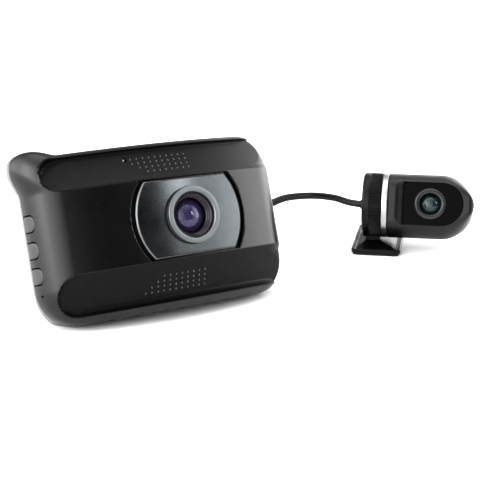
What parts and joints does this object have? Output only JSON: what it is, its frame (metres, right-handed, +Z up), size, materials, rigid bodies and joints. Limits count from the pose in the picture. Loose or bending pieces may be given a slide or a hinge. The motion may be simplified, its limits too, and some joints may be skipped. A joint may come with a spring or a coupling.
{
  "type": "dash camera",
  "caption": "Dash recorder with a barrel-fronted main unit, screen and side buttons, joined by a long lead to a small swivelling rear-window camera.",
  "frame": {"origin": "middle of the flat underside that the main unit rests on", "axes": "+X along the main unit's width, towards the rear camera; the main lens faces -Y; +Z up"},
  "size_m": [0.2344, 0.1336, 0.0689],
  "materials": {
    "cover_plastic": "satin charcoal moulded plastic",
    "housing_plastic": "satin silver painted plastic",
    "screen_glass": "gloss black screen window",
    "lcd": "display panel behind the window",
    "plate_metal": "fine satin gunmetal lens plate",
    "bright_edge": "bright cut edge",
    "collar_metal": "satin gunmetal collar",
    "lens_black": "matt black lens barrel",
    "coated_glass": "violet coated glass",
    "circuit_board": "green solder mask",
    "battery_foil": "pouch foil",
    "black_plastic": "fine textured black plastic",
    "mesh_cloth": "fine acoustic mesh",
    "led_lens": "translucent indicator",
    "button_plastic": "satin charcoal",
    "steel": "pressed steel",
    "brass": "machined brass",
    "screw_steel": "black zinc plated",
    "rear_gloss_black": "gloss black window",
    "silver_metal": "fine turned silver",
    "foam_pad": "adhesive foam pad",
    "lead_pvc": "smooth black flexible jacket",
    "rear_head_plastic": "satin charcoal",
    "grey_glass_ring": "dark grey polished ring"
  },
  "bodies": {
    "main_unit": {"front_cover": "cover_plastic", "rear_housing": "housing_plastic", "screen_window": "screen_glass", "lcd_panel": "lcd", "lens_plate": "plate_metal", "plate_rim": "bright_edge", "lens_collar": "collar_metal", "lens_barrel": "lens_black", "front_lens": "coated_glass", "second_lens": "coated_glass", "lens_holder": "lens_black", "sensor_board": "circuit_board", "main_board": "circuit_board", "battery": "battery_foil", "speaker": "black_plastic", "microphone": "steel", "grille_mesh_upper": "mesh_cloth", "grille_mesh_lower": "mesh_cloth", "status_led": "led_lens", "button_board": "circuit_board", "card_socket": "steel", "usb_socket": "steel", "video_socket": "black_plastic", "mount_insert": "brass", "housing_screws": "screw_steel", "rear_foot": "black_plastic", "adhesive_pad": "foam_pad", "clamp_ring": "black_plastic", "swivel_shaft": "black_plastic", "lead_gland": "black_plastic", "lead_run": "lead_pvc", "lead_coil": "lead_pvc", "coil_tie": "black_plastic", "lead_tail": "lead_pvc", "lead_strain_relief": "black_plastic", "lead_plug": "black_plastic", "plug_pin": "brass"},
    "button_upper": {"side_button_upper": "button_plastic"},
    "button_middle": {"side_button_middle": "button_plastic"},
    "button_lower": {"side_button_lower": "button_plastic"},
    "power_key": {"power_button": "housing_plastic"},
    "card": {"memory_card": "black_plastic"},
    "rear_head": {"silver_ring": "silver_metal", "head_front": "rear_head_plastic", "head_back": "rear_head_plastic", "rear_window": "rear_gloss_black", "rear_lens_ring": "grey_glass_ring", "rear_lens_barrel": "lens_black", "rear_lens_glass": "coated_glass", "rear_sensor_board": "circuit_board", "head_screws": "screw_steel"}
  },
  "joints": [
    {"name": "button_upper_press", "type": "slide", "parent": "main_unit", "child": "button_upper", "axis": [1, 0, 0], "range_m": [0, 0.0006], "stiffness_N_per_m": 600},
    {"name": "button_middle_press", "type": "slide", "parent": "main_unit", "child": "button_middle", "axis": [1, 0, 0], "range_m": [0, 0.0006], "stiffness_N_per_m": 600},
    {"name": "button_lower_press", "type": "slide", "parent": "main_unit", "child": "button_lower", "axis": [1, 0, 0], "range_m": [0, 0.0006], "stiffness_N_per_m": 600},
    {"name": "power_key_press", "type": "slide", "parent": "main_unit", "child": "power_key", "axis": [0, -0.314, -0.9494], "range_m": [0, 0.0004], "stiffness_N_per_m": 600},
    {"name": "card_slide", "type": "slide", "parent": "main_unit", "child": "card", "axis": [0, 0.314, 0.9494], "range_m": [0, 0.01]},
    {"name": "rear_head_tilt", "type": "hinge", "parent": "main_unit", "child": "rear_head", "pos_m": [0.133, 0.028, 0.021], "axis": [0.7431, -0.6691, 0], "range_deg": [-90, 90]}
  ]
}
